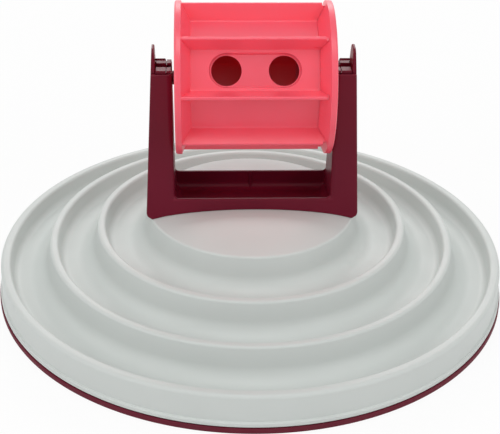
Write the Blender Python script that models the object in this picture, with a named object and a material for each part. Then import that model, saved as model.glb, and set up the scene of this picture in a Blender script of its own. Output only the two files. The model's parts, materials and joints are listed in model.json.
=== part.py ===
"""Slow-feeding treat tray: three ring grooves around a platform with a stand and a paddled treat drum.

Metres, +Z up, front towards -Y, origin on the floor under the middle of the tray.
"""

import math

import bmesh
import bpy
from mathutils import Matrix, Vector

MM = 0.001
GAP = 0.3 * MM  # between pieces that rest on or lie in each other
CUT_REACH = 10.0 * MM  # how far a cutter passes the surface that it opens

# Drum: two dished end discs, an eight-sided hollow core and eight paddles
PADDLES = 8
DRUM_RADIUS = 39.8 * MM
DRUM_HALF_LENGTH = 40.5 * MM
DISC_RIM_THICKNESS = 3.3 * MM
DISC_WALL = 2.4 * MM
DISC_DISH = 4.9 * MM
RIM_ABOVE_PADDLES = 0.4 * MM
CORE_APOTHEM = 28.3 * MM
CORE_WALL = 3.2 * MM
PADDLE_TIP_THICKNESS = 1.7 * MM
PADDLE_ROOT_THICKNESS = 2.8 * MM
PADDLE_ROOT_FILLET = 0.9 * MM
PADDLE_TIP_FILLET = 0.5 * MM
PADDLE_END_NOTCH = 1.4 * MM  # beside the cap's rim
OUTLET_RADIUS = 7.65 * MM
OUTLET_SPACING = 29.0 * MM
OUTLET_RECESS_LEDGE = 0.4 * MM  # around an outlet, on the recess's floor
OUTLET_RECESS_MARGIN = 1.1 * MM
OUTLET_RECESS_DEPTH = 2.0 * MM
OUTLET_TILT = math.radians(30.4)  # how far the outlets face above the horizontal at rest
CAP_SPIGOT_DEPTH = 8.0 * MM
CAP_SPIGOT_WALL = 1.8 * MM
CAP_HOOK_LENGTH = 2.2 * MM
CAP_HOOK_WIDTH = 8.0 * MM
CAP_HOOK_INSET = 3.0 * MM  # from the end of the core to the hook
CAP_HOOK_TURNS = (math.pi / 2, -math.pi / 2)  # from the outlets' face to the hooks

# Axle pins: the drum turns on them, and they lie in open slots at the top of the stand
PIN_RADIUS = 2.1 * MM
PIN_COLLAR_RADIUS = 3.6 * MM
PIN_COLLAR_THICKNESS = 0.8 * MM
PIN_HEAD_RADIUS = 3.2 * MM
PIN_HEAD_THICKNESS = 1.4 * MM
HUB_RADIUS = 6.0 * MM
HUB_PROUD = 0.5 * MM  # of the disc's rim, towards the stand
SLOT_CLEARANCE = 0.3 * MM
STAND_SLOT_CLEARANCE = 1.4 * MM  # around the pin, in the wall outside the cradle

# Stand: a trough between two tapering uprights
UPRIGHT_CLEARANCE = 2.8 * MM
UPRIGHT_LEAN = 1.2 * MM
UPRIGHT_TOP_THICKNESS = 10.0 * MM
UPRIGHT_FOOT_THICKNESS = 15.0 * MM
STAND_FOOT_DEPTH = 33.2 * MM
STAND_FOOT_OVERHANG = 0.8 * MM  # past the platform's edge
STAND_FOOT_RISE = 0.7 * MM  # from the platform's edge up to the foot's
UPRIGHT_ABOVE_AXLE = 5.6 * MM
DRUM_ABOVE_CROSSBAR = 22.35 * MM
CROSSBAR_ABOVE_DOME = 7.7 * MM
TROUGH_WALL = 1.8 * MM
TROUGH_FLOOR = 1.8 * MM
TROUGH_FLOOR_DROP = 0.2 * MM  # of its top, under the dome's highest point
WINDOW_FILLET = 2.4 * MM
STAND_EDGE_FILLET = 0.9 * MM
STAND_FOOT_FILLET = 2.2 * MM
UPRIGHT_INNER_FILLET = 2.6 * MM

# Cradle: the insert in each upright's top that holds the axle pin
CRADLE_DEPTH = 16.0 * MM
CRADLE_SIDE_WALL = 1.6 * MM  # of the upright, in front of it and behind
CRADLE_PLUG_LENGTH = 25.0 * MM
CRADLE_ABOVE_RIM = 1.4 * MM
CRADLE_INNER_WALL = 1.2 * MM  # the upright's wall beside it, towards the drum
TONGUE_THICKNESS = 2.2 * MM
TONGUE_LENGTH = 6.2 * MM
CRADLE_LEDGE_HEIGHT = 1.3 * MM
CRADLE_LEDGE_THICKNESS = 1.2 * MM
FIN_HEIGHT = 10.4 * MM
FIN_TIP_THICKNESS = 1.3 * MM
FIN_TIP_DEPTH = 11.0 * MM
FIN_CORNER = 3.0 * MM

# Tray: ridges step down and out from the platform
GROOVES = 3
GROOVE_PITCH = 26.37 * MM
GROOVE_DEPTH = 9.4 * MM
RIM_HEIGHT = 21.0 * MM
RIDGE_RISE = 8.6 * MM
DOME_RISE = 6.0 * MM
TRAY_WALL = 2.6 * MM
RIDGE_INNER_WIDTH = 2.2 * MM
RIDGE_OUTER_WIDTH = 1.9 * MM
RIDGE_INNER_FILLET = 1.7 * MM
RIDGE_OUTER_FILLET = 1.8 * MM
INNER_WALL_DRAFT = 2.0 * MM
OUTER_WALL_DRAFT = 4.1 * MM
GROOVE_INNER_FILLET = 10.0 * MM
GROOVE_OUTER_FILLET = 4.0 * MM
RIM_OUTER_WIDTH = 3.0 * MM
RIM_OUTER_FILLET = 2.0 * MM
LIP_WIDTH = 1.2 * MM
LIP_HEIGHT = 2.6 * MM

# Non-slip ring under the rim
FOOT_RING_HEIGHT = 3.0 * MM
FOOT_RING_WIDTH = 9.0 * MM
FOOT_RING_PROUD = 0.5 * MM
FOOT_RING_COLLAR = 2.4 * MM
FOOT_RING_COLLAR_HEIGHT = 6.0 * MM

# Screws that hold the stand from below
SCREW_RADIUS = 1.5 * MM
SCREW_LENGTH = 14.0 * MM
SCREW_HEAD_RADIUS = 3.4 * MM
SCREW_HEAD_HEIGHT = 2.2 * MM
SCREW_SPACING = 15.0 * MM

# Facets
TURNED_STEPS = 56
DISC_STEPS = 48  # a multiple of twice the paddles
SMALL_STEPS = 16
CORNER_STEP = math.radians(38)

# Places that follow from the sizes above
window_top_x = DRUM_HALF_LENGTH + UPRIGHT_CLEARANCE
window_foot_x = window_top_x - UPRIGHT_LEAN
upright_top_x = window_top_x + UPRIGHT_TOP_THICKNESS
stand_foot_x = window_foot_x + UPRIGHT_FOOT_THICKNESS
platform_radius = stand_foot_x - STAND_FOOT_OVERHANG
ridge_radii = [platform_radius + GROOVE_PITCH * (i + 1) for i in range(GROOVES)]
ridge_heights = [RIM_HEIGHT + RIDGE_RISE * (GROOVES - 1 - i) for i in range(GROOVES)]
platform_height = RIM_HEIGHT + RIDGE_RISE * GROOVES
dome_height = platform_height + DOME_RISE
dome_radius = (platform_radius ** 2 + DOME_RISE ** 2) / (2 * DOME_RISE)
tray_radius = ridge_radii[-1] + RIM_OUTER_WIDTH
lip_radius = tray_radius + LIP_WIDTH
foot_ring_radius = lip_radius + FOOT_RING_PROUD
crossbar_height = dome_height + CROSSBAR_ABOVE_DOME
axle_height = crossbar_height + DRUM_ABOVE_CROSSBAR + DRUM_RADIUS
stand_height = axle_height + UPRIGHT_ABOVE_AXLE
stand_foot_height = platform_height - TRAY_WALL
foot_edge_height = platform_height + STAND_FOOT_RISE
upright_top_depth = CRADLE_DEPTH + 2 * CRADLE_SIDE_WALL
trough_floor_height = dome_height - TROUGH_FLOOR_DROP
seat_height = trough_floor_height - TROUGH_FLOOR - GAP
trough_half_length = window_foot_x - TROUGH_WALL
trough_half_depth = STAND_FOOT_DEPTH / 2 - TROUGH_WALL
cradle_inner_x = window_top_x + CRADLE_INNER_WALL + GAP
tongue_inner_x = upright_top_x - TONGUE_THICKNESS
tongue_foot_height = stand_height - TONGUE_LENGTH
disc_face_x = DRUM_HALF_LENGTH - DISC_RIM_THICKNESS - DISC_DISH
paddle_radius = DRUM_RADIUS - RIM_ABOVE_PADDLES
core_corner_radius = CORE_APOTHEM / math.cos(math.pi / PADDLES)
bore_apothem = CORE_APOTHEM - CORE_WALL
core_end_x = disc_face_x - GAP
screw_x = (window_foot_x + stand_foot_x) / 2


def linear(channel):
    """One sRGB channel, 0 to 255, as linear light."""
    c = channel / 255
    return c / 12.92 if c <= 0.04045 else ((c + 0.055) / 1.055) ** 2.4


def material(name, red, green, blue, roughness, metallic=0.0):
    mat = bpy.data.materials.new(name)
    mat.use_nodes = True
    shader = mat.node_tree.nodes["Principled BSDF"]
    shader.inputs["Base Color"].default_value = (linear(red), linear(green), linear(blue), 1.0)
    shader.inputs["Roughness"].default_value = roughness
    shader.inputs["Metallic"].default_value = metallic
    return mat


def new_object(name, bm):
    """An object with this bmesh, its faces turned outwards."""
    bmesh.ops.recalc_face_normals(bm, faces=bm.faces)
    mesh = bpy.data.meshes.new(name)
    bm.to_mesh(mesh)
    bm.free()
    obj = bpy.data.objects.new(name, mesh)
    bpy.context.scene.collection.objects.link(obj)
    return obj


def finish(obj, mat, sharp=40):
    obj.data.materials.clear()
    obj.data.materials.append(mat)
    obj.data.shade_smooth()
    obj.data.set_sharp_from_angle(angle=math.radians(sharp))
    return obj


def combine(obj, tool, operation):
    """Joins tool to obj, cuts it out or keeps what both hold, and removes tool."""
    modifier = obj.modifiers.new(operation.lower(), "BOOLEAN")
    modifier.operation = operation
    modifier.object = tool
    bpy.context.view_layer.update()
    graph = bpy.context.evaluated_depsgraph_get()
    mesh = bpy.data.meshes.new_from_object(obj.evaluated_get(graph))
    obj.modifiers.clear()
    obj.data = mesh
    bpy.data.objects.remove(tool)
    return obj


def rounded(corners, step=CORNER_STEP):
    """Points of an open outline. A corner is (a, b) or (a, b, fillet radius)."""
    points = []
    for i, corner in enumerate(corners):
        here = Vector(corner[:2])
        if len(corner) == 2 or corner[2] <= 0:
            points.append(here)
            continue
        back = (Vector(corners[i - 1][:2]) - here).normalized()
        on = (Vector(corners[(i + 1) % len(corners)][:2]) - here).normalized()
        turn = math.pi - back.angle(on)
        tangent = corner[2] * math.tan(turn / 2)
        centre = here + (back + on).normalized() * corner[2] / math.cos(turn / 2)
        start = here + back * tangent - centre
        steps = max(1, round(turn / step))
        sign = 1 if start.x * (here - centre).y - start.y * (here - centre).x > 0 else -1
        for k in range(steps + 1):
            points.append(centre + Matrix.Rotation(sign * turn * k / steps, 2) @ start)
    return points


def turned(name, outline, steps, axis="Z"):
    """A solid turned from an outline in (radius, height), closed on itself or at the axis."""
    bm = bmesh.new()
    rows = []
    for radius, height in outline:
        count = steps if radius > 1e-7 else 1
        ring = []
        for k in range(count):
            angle = 2 * math.pi * k / steps
            across, up = radius * math.cos(angle), radius * math.sin(angle)
            place = (across, up, height) if axis == "Z" else (height, across, up)
            ring.append(bm.verts.new(place))
        rows.append(ring)
    for first, second in zip(rows, rows[1:] + rows[:1]):
        if len(first) == len(second) == 1:
            continue
        for k in range(steps):
            corners = [first[k % len(first)], first[(k + 1) % len(first)]]
            corners += [second[(k + 1) % len(second)], second[k % len(second)]]
            bm.faces.new(dict.fromkeys(corners))
    return new_object(name, bm)


def lofted(name, rings):
    """A solid through rings of points, closed at both ends."""
    bm = bmesh.new()
    rows = [[bm.verts.new(point) for point in ring] for ring in rings]
    for first, second in zip(rows, rows[1:]):
        for k in range(len(first)):
            after = (k + 1) % len(first)
            bm.faces.new((first[k], first[after], second[after], second[k]))
    bm.faces.new(rows[0])
    bm.faces.new(rows[-1])
    return new_object(name, bm)


def prism(name, outline, low, high, place):
    """A solid between two copies of an outline. place(a, b, along) gives a corner's point."""
    return lofted(name, [[place(a, b, along) for a, b in outline] for along in (low, high)])


def box(name, low, high):
    corners = [(low[0], low[1]), (high[0], low[1]), (high[0], high[1]), (low[0], high[1])]
    return prism(name, corners, low[2], high[2], lambda x, y, z: (x, y, z))


def mirrored(points):
    """Corners on the right, with their mirror images added on the left in reverse."""
    return points + [(-corner[0], *corner[1:]) for corner in reversed(points)]


def dome_at(radius):
    """Height of the platform's domed top."""
    return dome_height - dome_radius + math.sqrt(dome_radius ** 2 - radius ** 2)


def stand_half_depth(height):
    """Half the stand's depth, which narrows evenly from its foot to its top."""
    share = (height - platform_height) / (stand_height - platform_height)
    return (STAND_FOOT_DEPTH + (upright_top_depth - STAND_FOOT_DEPTH) * share) / 2


def tray_top():
    """Corners of the tray's upper side, from the middle out to the foot of the rim."""
    dome = [(platform_radius * k / 3, dome_at(platform_radius * k / 3)) for k in range(3)]
    corners = [*dome, (platform_radius, platform_height, RIDGE_OUTER_FILLET)]
    radius, height = platform_radius, platform_height
    for ridge, top in zip(ridge_radii, ridge_heights):
        floor = top - GROOVE_DEPTH
        wall_foot = radius + OUTER_WALL_DRAFT * (height - floor) / (GROOVE_DEPTH + RIDGE_RISE)
        corners.append((wall_foot, floor, GROOVE_INNER_FILLET))
        corners.append((ridge - RIDGE_INNER_WIDTH - INNER_WALL_DRAFT, floor, GROOVE_OUTER_FILLET))
        corners.append((ridge - RIDGE_INNER_WIDTH, top, RIDGE_INNER_FILLET))
        if ridge != ridge_radii[-1]:
            corners.append((ridge + RIDGE_OUTER_WIDTH, top, RIDGE_OUTER_FILLET))
        radius, height = ridge + RIDGE_OUTER_WIDTH, top
    foot = FOOT_RING_HEIGHT + GAP
    corners.append((tray_radius, RIM_HEIGHT, RIM_OUTER_FILLET))
    corners.append((tray_radius, foot + LIP_HEIGHT))
    corners.append((lip_radius, foot + LIP_HEIGHT, LIP_WIDTH * 0.6))
    corners.append((lip_radius, foot))
    return corners


def tray_underside():
    """Corners of the tray's lower side, from the rim's foot in to the middle."""
    foot = FOOT_RING_HEIGHT + GAP
    inner = tray_radius - TRAY_WALL
    corners = [(inner, foot), (inner, RIM_HEIGHT - GROOVE_DEPTH)]
    for i in reversed(range(GROOVES)):
        under = ridge_heights[i] - GROOVE_DEPTH - TRAY_WALL
        above = ridge_radii[i - 1] + RIDGE_OUTER_WIDTH if i else platform_radius
        corners.append((ridge_radii[i] - RIDGE_INNER_WIDTH, under))
        wall_foot = above + OUTER_WALL_DRAFT - TRAY_WALL / 2
        corners.append((wall_foot, under, GROOVE_INNER_FILLET + TRAY_WALL))
        above_height = ridge_heights[i - 1] - GROOVE_DEPTH if i else platform_height
        corners.append((above - TRAY_WALL, above_height - TRAY_WALL))
    corners.append((0, seat_height - TRAY_WALL))
    return corners


def make_tray():
    outline = rounded(tray_top()) + rounded(tray_underside(), math.radians(50))
    tray = turned("tray", outline, TURNED_STEPS)
    seat = box(
        "seat",
        (-trough_half_length - GAP, -trough_half_depth - GAP, seat_height),
        (trough_half_length + GAP, trough_half_depth + GAP, crossbar_height),
    )
    combine(tray, seat, "DIFFERENCE")
    for x, y in screw_places():
        hole = turned("hole", screw_hole(), SMALL_STEPS)
        hole.data.transform(Matrix.Translation((x, y, 0)))
        combine(tray, hole, "DIFFERENCE")
    return tray


def screw_places():
    return [(sx * screw_x, sy * SCREW_SPACING / 2) for sx in (-1, 1) for sy in (-1, 1)]


def screw_head_top():
    """Height of the seats for the screws' heads, a wall's thickness below the platform's top."""
    return dome_at(math.hypot(screw_x, SCREW_SPACING / 2)) - TRAY_WALL


def screw_hole():
    """A hole with a flat seat for the head, from below."""
    radius, head, seat = SCREW_RADIUS + GAP, SCREW_HEAD_RADIUS + GAP, screw_head_top()
    return [(0, 0), (head, 0), (head, seat), (radius, seat), (radius, dome_height), (0, dome_height)]


def make_screw(name, x, y):
    top = screw_head_top() - GAP
    outline = rounded(
        [
            (0, top - SCREW_HEAD_HEIGHT),
            (SCREW_HEAD_RADIUS, top - SCREW_HEAD_HEIGHT, SCREW_HEAD_HEIGHT / 2),
            (SCREW_HEAD_RADIUS, top),
            (SCREW_RADIUS, top),
            (SCREW_RADIUS, top + SCREW_LENGTH - SCREW_RADIUS),
            (0, top + SCREW_LENGTH),
        ]
    )
    screw = turned(name, outline, SMALL_STEPS)
    screw.location = (x, y, 0)
    return screw


def make_foot_ring():
    inner = foot_ring_radius - FOOT_RING_WIDTH
    collar = tray_radius - TRAY_WALL - GAP
    outline = rounded(
        [
            (inner, 0),
            (foot_ring_radius, 0),
            (foot_ring_radius, FOOT_RING_HEIGHT, FOOT_RING_PROUD),
            (collar, FOOT_RING_HEIGHT),
            (collar, FOOT_RING_HEIGHT + FOOT_RING_COLLAR_HEIGHT),
            (collar - FOOT_RING_COLLAR, FOOT_RING_HEIGHT + FOOT_RING_COLLAR_HEIGHT),
            (collar - FOOT_RING_COLLAR, FOOT_RING_HEIGHT),
            (inner, FOOT_RING_HEIGHT),
        ]
    )
    return turned("base_ring", outline, TURNED_STEPS)


def stand_place(x, z, side):
    return (x, side * stand_half_depth(z), z)


def slot_cutter(clearance, inner_x, outer_x):
    """The slot that an axle pin drops into: round below, open above."""
    half = PIN_RADIUS + clearance
    top = stand_height + CRADLE_ABOVE_RIM + FIN_HEIGHT
    arc = [math.pi * (1 + k / 8) for k in range(9)]
    outline = [(half * math.cos(a), axle_height + half * math.sin(a)) for a in arc]
    outline += [(half, top), (-half, top)]
    return prism("slot", outline, inner_x, outer_x, lambda y, z, x: (x, y, z))


def mirror(obj):
    """Turns a piece on the right into its mirror image on the left."""
    obj.data.transform(Matrix.Scale(-1, 4, (1, 0, 0)))
    obj.data.flip_normals()
    return obj


def make_stand():
    foot = stand_foot_x - STAND_FOOT_FILLET * 1.5
    outer = [(foot, stand_foot_height), (foot, platform_height)]
    outer += [(stand_foot_x, foot_edge_height, STAND_FOOT_FILLET), (upright_top_x, stand_height)]
    inner = [(window_top_x, stand_height), (window_foot_x, crossbar_height, WINDOW_FILLET)]
    outline = rounded(mirrored(outer + inner), math.radians(45))
    stand = prism("stand", outline, -1, 1, stand_place)
    round_stand_edges(stand)
    combine(stand, dome_with_plug(), "DIFFERENCE")
    combine(stand, trough(), "DIFFERENCE")
    inside = window_top_x - UPRIGHT_CLEARANCE
    combine(stand, upright_pocket(), "DIFFERENCE")
    combine(stand, mirror(upright_pocket()), "DIFFERENCE")
    combine(stand, slot_cutter(STAND_SLOT_CLEARANCE, inside, cradle_inner_x), "DIFFERENCE")
    combine(stand, slot_cutter(STAND_SLOT_CLEARANCE, -inside, -cradle_inner_x), "DIFFERENCE")
    for x, y in screw_places():
        hole = turned("hole", pilot_hole(), SMALL_STEPS)
        hole.data.transform(Matrix.Translation((x, y, 0)))
        combine(stand, hole, "DIFFERENCE")
    return stand


def pilot_hole():
    radius = SCREW_RADIUS + GAP
    end = screw_head_top() + SCREW_LENGTH
    return [(0, 0), (radius, 0), (radius, end - radius), (0, end)]


def round_stand_edges(stand):
    """Rounds the front and back edges, more where the uprights face the drum."""
    bm = bmesh.new()
    bm.from_mesh(stand.data)
    inner, rest = [], []
    for edge in bm.edges:
        one, other = (vert.co for vert in edge.verts)
        low, high = sorted((one.z, other.z))
        if one.y * other.y < 0:
            continue
        above = low > crossbar_height + WINDOW_FILLET / 2
        facing = max(abs(one.x), abs(other.x)) < window_top_x + GAP
        upright = abs(one.x - other.x) < 2 * UPRIGHT_LEAN and high - low > WINDOW_FILLET
        if above and facing and upright:
            inner.append(edge)
        elif low > stand_foot_height + GAP or high > crossbar_height:
            rest.append(edge)
    bmesh.ops.bevel(bm, geom=inner, offset=UPRIGHT_INNER_FILLET, segments=3, profile=0.5, affect="EDGES")
    bm.edges.ensure_lookup_table()
    rest = [edge for edge in rest if edge.is_valid]
    bmesh.ops.bevel(bm, geom=rest, offset=STAND_EDGE_FILLET, segments=2, profile=0.5, affect="EDGES")
    bm.to_mesh(stand.data)
    bm.free()


def dome_with_plug():
    """Clears the stand's underside to the platform's dome, but for the plug that seats in the tray."""
    reach = stand_foot_x * 1.25
    below = stand_foot_height - TRAY_WALL
    outline = [(0, below)] + [(reach, below)]
    outline += [(reach * k / 8, dome_at(reach * k / 8) + GAP) for k in range(8, -1, -1)]
    dome = turned("dome", outline, TURNED_STEPS)
    plug = box(
        "plug",
        (-trough_half_length, -trough_half_depth, trough_floor_height - TROUGH_FLOOR),
        (trough_half_length, trough_half_depth, crossbar_height),
    )
    return combine(dome, plug, "DIFFERENCE")


def trough():
    """The open hollow of the crossbar, between its front and back walls."""
    slope = UPRIGHT_LEAN
    low, high = trough_floor_height, crossbar_height + WINDOW_FILLET
    corners = [(trough_half_length - slope, low), (trough_half_length, high)]
    corners += [(-a, b) for a, b in reversed(corners)]
    def place(x, z, side):
        return (x, side * (stand_half_depth(z) - TROUGH_WALL), z)

    return prism("trough", corners, -1, 1, place)


def upright_pocket():
    """The hollow in the right upright's top, open outwards where the cradle's tongue lies."""
    half = CRADLE_DEPTH / 2 + GAP
    inner, outer = cradle_inner_x - GAP, tongue_inner_x
    bottom = stand_height - CRADLE_PLUG_LENGTH - GAP
    beyond = upright_top_x + CUT_REACH
    above = stand_height + CUT_REACH
    pocket = box("pocket", (inner, -half, bottom), (outer, half, above))
    notch = box("notch", (outer - GAP, -half, tongue_foot_height - GAP), (beyond, half, above))
    return combine(pocket, notch, "UNION")


def fin_half_depth(height):
    """Half the depth of the cradle's fin: it narrows upwards and ends in round corners."""
    foot = stand_height + CRADLE_ABOVE_RIM
    share = max(0.0, height - foot) / FIN_HEIGHT
    half = CRADLE_DEPTH / 2 - GAP + (FIN_TIP_DEPTH - CRADLE_DEPTH) * share / 2
    over = max(0.0, height - (foot + FIN_HEIGHT - FIN_CORNER))
    return half - FIN_CORNER + math.sqrt(max(0.0, FIN_CORNER ** 2 - over ** 2))


def cradle_tongue():
    """The tongue that lies in the upright's notch and rises above it as a fin."""
    top = stand_height + CRADLE_ABOVE_RIM
    tip = top + FIN_HEIGHT
    lean = (stand_foot_x - upright_top_x) / (stand_height - foot_edge_height)
    levels = [tongue_foot_height, stand_height, top, tip - FIN_CORNER]
    levels += [tip - FIN_CORNER * (1 - math.sin(math.radians(a))) for a in (30, 55, 75)]
    rings = []
    for z in levels:
        outer = upright_top_x + lean * (stand_height - z)
        share = max(0.0, z - top) / FIN_HEIGHT
        thickness = TONGUE_THICKNESS + (FIN_TIP_THICKNESS - TONGUE_THICKNESS) * share
        inner = min(outer - thickness, tongue_inner_x - 2 * GAP) if z < stand_height else outer - thickness
        half = fin_half_depth(z)
        rings.append([(inner, -half, z), (outer, -half, z), (outer, half, z), (inner, half, z)])
    return lofted("tongue", rings)


def make_cradle(name):
    """The right cradle: a block with a slot for the pin, a ledge along its back and a tongue."""
    top = stand_height + CRADLE_ABOVE_RIM
    half = CRADLE_DEPTH / 2
    outer = tongue_inner_x - GAP
    cradle = box(name, (cradle_inner_x, -half, stand_height - CRADLE_PLUG_LENGTH), (outer, half, top))
    bevel_box(cradle, STAND_EDGE_FILLET / 2)
    combine(cradle, cradle_tongue(), "UNION")
    combine(cradle, slot_cutter(SLOT_CLEARANCE, cradle_inner_x - CUT_REACH, outer), "DIFFERENCE")
    low = (cradle_inner_x + GAP, half - CRADLE_LEDGE_THICKNESS, top - CRADLE_LEDGE_HEIGHT)
    ledge = box("ledge", low, (outer + GAP, half - GAP, top + CRADLE_LEDGE_HEIGHT))
    return combine(cradle, ledge, "UNION")


def bevel_box(obj, width):
    bm = bmesh.new()
    bm.from_mesh(obj.data)
    bmesh.ops.bevel(bm, geom=bm.edges[:], offset=width, segments=1, profile=0.5, affect="EDGES")
    bm.to_mesh(obj.data)
    bm.free()


def end_disc(name, side):
    """An end disc with its hub, without the pin's bore: its inner face runs from the core's
    eight sides out to the round rim."""
    slope = math.hypot(DISC_DISH, DRUM_RADIUS - CORE_APOTHEM)
    wall = DISC_WALL * slope / (DRUM_RADIUS - CORE_APOTHEM)
    rim_face = disc_face_x + DISC_DISH
    hub_end = DRUM_HALF_LENGTH + HUB_PROUD
    outline = rounded(
        [
            (paddle_radius, rim_face),
            (DRUM_RADIUS, rim_face),
            (DRUM_RADIUS, DRUM_HALF_LENGTH, DISC_RIM_THICKNESS / 3),
            (paddle_radius - DISC_WALL, DRUM_HALF_LENGTH, DISC_WALL / 3),
            (paddle_radius - DISC_WALL, rim_face + wall / 2),
            (CORE_APOTHEM - DISC_WALL, disc_face_x + DISC_WALL),
            (HUB_RADIUS, disc_face_x + DISC_WALL),
            (HUB_RADIUS, hub_end),
        ]
    )
    rings = [octagon_ring(CORE_APOTHEM - GAP, side * disc_face_x)]
    rings += [round_ring(radius, side * x) for radius, x in outline]
    return lofted(name, rings)


def pin_bore(side):
    end = DRUM_HALF_LENGTH + DISC_DISH
    radius = PIN_RADIUS + GAP
    outline = [(0, 0), (radius, 0), (radius, side * end), (0, side * end)]
    return turned("pin_bore", outline, SMALL_STEPS, "X")


def around(radius, angle):
    """A point of the drum's cross-section, at an angle up from the front."""
    return Vector((radius * math.cos(angle), radius * math.sin(angle)))


def drum_place(forward, up, x):
    return (x, -forward, up)


def paddle_section():
    """The drum's outline across its axis: an eight-sided core with a tapering paddle at each corner."""
    corners = []
    for k in range(PADDLES):
        angle = math.pi / PADDLES * (2 * k + 1)
        side = Vector((-math.sin(angle), math.cos(angle)))
        # Where the paddle's sides leave the core's flat faces.
        root = around(core_corner_radius - PADDLE_ROOT_THICKNESS / 2 * math.tan(math.pi / PADDLES), angle)
        tip = around(paddle_radius, angle)
        root_half = side * PADDLE_ROOT_THICKNESS / 2
        tip_half = side * PADDLE_TIP_THICKNESS / 2
        corners.append((*(root - root_half), PADDLE_ROOT_FILLET))
        corners.append((*(tip - tip_half), PADDLE_TIP_FILLET))
        corners.append((*(tip + tip_half), PADDLE_TIP_FILLET))
        corners.append((*(root + root_half), PADDLE_ROOT_FILLET))
    return rounded(corners, math.radians(45))


def octagon(apothem):
    radius = apothem / math.cos(math.pi / PADDLES)
    return [around(radius, math.pi / PADDLES * (2 * k + 1)) for k in range(PADDLES)]


def octagon_ring(apothem, x):
    """Points of the eight-sided outline at x, one for each step round a disc."""
    sector = 2 * math.pi / PADDLES
    ring = []
    for k in range(DISC_STEPS):
        angle = 2 * math.pi * k / DISC_STEPS
        off = (angle + sector / 2) % sector - sector / 2
        ring.append(drum_place(*around(apothem / math.cos(off), angle), x))
    return ring


def round_ring(radius, x):
    return [drum_place(*around(radius, 2 * math.pi * k / DISC_STEPS), x) for k in range(DISC_STEPS)]


def stadium(half_length, radius, steps=8):
    """A slot outline in (x, up): two half circles joined by straight sides."""
    right = [-math.pi / 2 + math.pi * k / steps for k in range(steps + 1)]
    points = [(half_length + radius * math.cos(a), radius * math.sin(a)) for a in right]
    return points + [(-x, -up) for x, up in points]


def make_drum_body():
    rim_face = disc_face_x + DISC_DISH
    drum = prism("drum_body", paddle_section(), -rim_face - 2 * GAP, rim_face, drum_place)
    # The paddles' free ends follow the dish of the cap, a gap away from it.
    beyond = DRUM_HALF_LENGTH + DISC_DISH
    outside = DRUM_RADIUS + CUT_REACH
    notch = paddle_radius - PADDLE_END_NOTCH
    slope = DISC_DISH / (paddle_radius - core_corner_radius)
    notch_end = core_end_x + slope * (notch - core_corner_radius)
    clearance = [
        octagon_ring(CORE_APOTHEM + GAP, core_end_x),
        round_ring(notch, notch_end),
        round_ring(notch, notch_end - PADDLE_END_NOTCH),
        round_ring(outside, notch_end - PADDLE_END_NOTCH),
        round_ring(outside, beyond),
    ]
    combine(drum, lofted("cap_clearance", clearance), "DIFFERENCE")
    # On the left they end inside the disc that they are joined to.
    slope = DISC_DISH / (paddle_radius - CORE_APOTHEM)
    left = -disc_face_x - GAP
    outer_left = left - slope * (outside - CORE_APOTHEM)
    disc_side = [
        (0, left),
        (CORE_APOTHEM, left),
        (outside, outer_left),
        (outside, outer_left - CUT_REACH),
        (0, outer_left - CUT_REACH),
    ]
    combine(drum, turned("disc_side", disc_side, DISC_STEPS, "X"), "DIFFERENCE")
    combine(drum, end_disc("left_disc", -1), "UNION")
    combine(drum, pin_bore(-1), "DIFFERENCE")
    bore_end = -disc_face_x - GAP / 2
    combine(drum, prism("bore", octagon(bore_apothem), bore_end, beyond, drum_place), "DIFFERENCE")
    bottom = CORE_APOTHEM - OUTLET_RECESS_DEPTH
    outside = CORE_APOTHEM + OUTLET_RADIUS / 2
    half_spacing = OUTLET_SPACING / 2
    slope = (OUTLET_RECESS_MARGIN - OUTLET_RECESS_LEDGE) / OUTLET_RECESS_DEPTH
    rings = []
    for out in (bottom, outside):
        radius = OUTLET_RADIUS + OUTLET_RECESS_LEDGE + slope * (out - bottom)
        rings.append([(x, -out, up) for x, up in stadium(half_spacing, radius)])
    combine(drum, lofted("recess", rings), "DIFFERENCE")
    for x in (-half_spacing, half_spacing):
        inside = bore_apothem / 2
        hole = [(0, inside), (OUTLET_RADIUS, inside), (OUTLET_RADIUS, outside), (0, outside)]
        cutter = turned("outlet", hole, SMALL_STEPS)
        cutter.data.transform(Matrix.Translation((x, 0, 0)) @ Matrix.Rotation(math.pi / 2, 4, "X"))
        combine(drum, cutter, "DIFFERENCE")
    for turn in CAP_HOOK_TURNS:
        combine(drum, hook_shape("slit", turn, GAP, CORE_WALL), "DIFFERENCE")
    return drum


def hook_shape(name, turn, margin=0.0, extra=0.0):
    """A hook of the cap in the core's wall or, with a margin and an extra reach, the slit for it."""
    near = core_end_x - CAP_HOOK_INSET + margin
    low = near - CAP_HOOK_LENGTH - 2 * margin
    across = CAP_HOOK_WIDTH / 2 + margin
    outside = -CORE_APOTHEM + 2 * GAP - extra
    hook = box(name, (low, outside, -across), (near, -bore_apothem + CAP_SPIGOT_WALL / 2, across))
    hook.data.transform(Matrix.Rotation(turn, 4, "X"))
    return hook


def make_drum_cap():
    cap = end_disc("drum_cap", 1)
    spigot_end = disc_face_x - CAP_SPIGOT_DEPTH
    outline, inline = octagon(bore_apothem - GAP), octagon(bore_apothem - GAP - CAP_SPIGOT_WALL)
    spigot = prism("spigot", outline, spigot_end, disc_face_x + DISC_WALL / 2, drum_place)
    hollow = prism("hollow", inline, spigot_end - DISC_WALL, disc_face_x, drum_place)
    combine(spigot, hollow, "DIFFERENCE")
    for turn in CAP_HOOK_TURNS:
        combine(spigot, hook_shape("hook", turn), "UNION")
    combine(cap, spigot, "UNION")
    combine(cap, pin_bore(1), "DIFFERENCE")
    return cap


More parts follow.
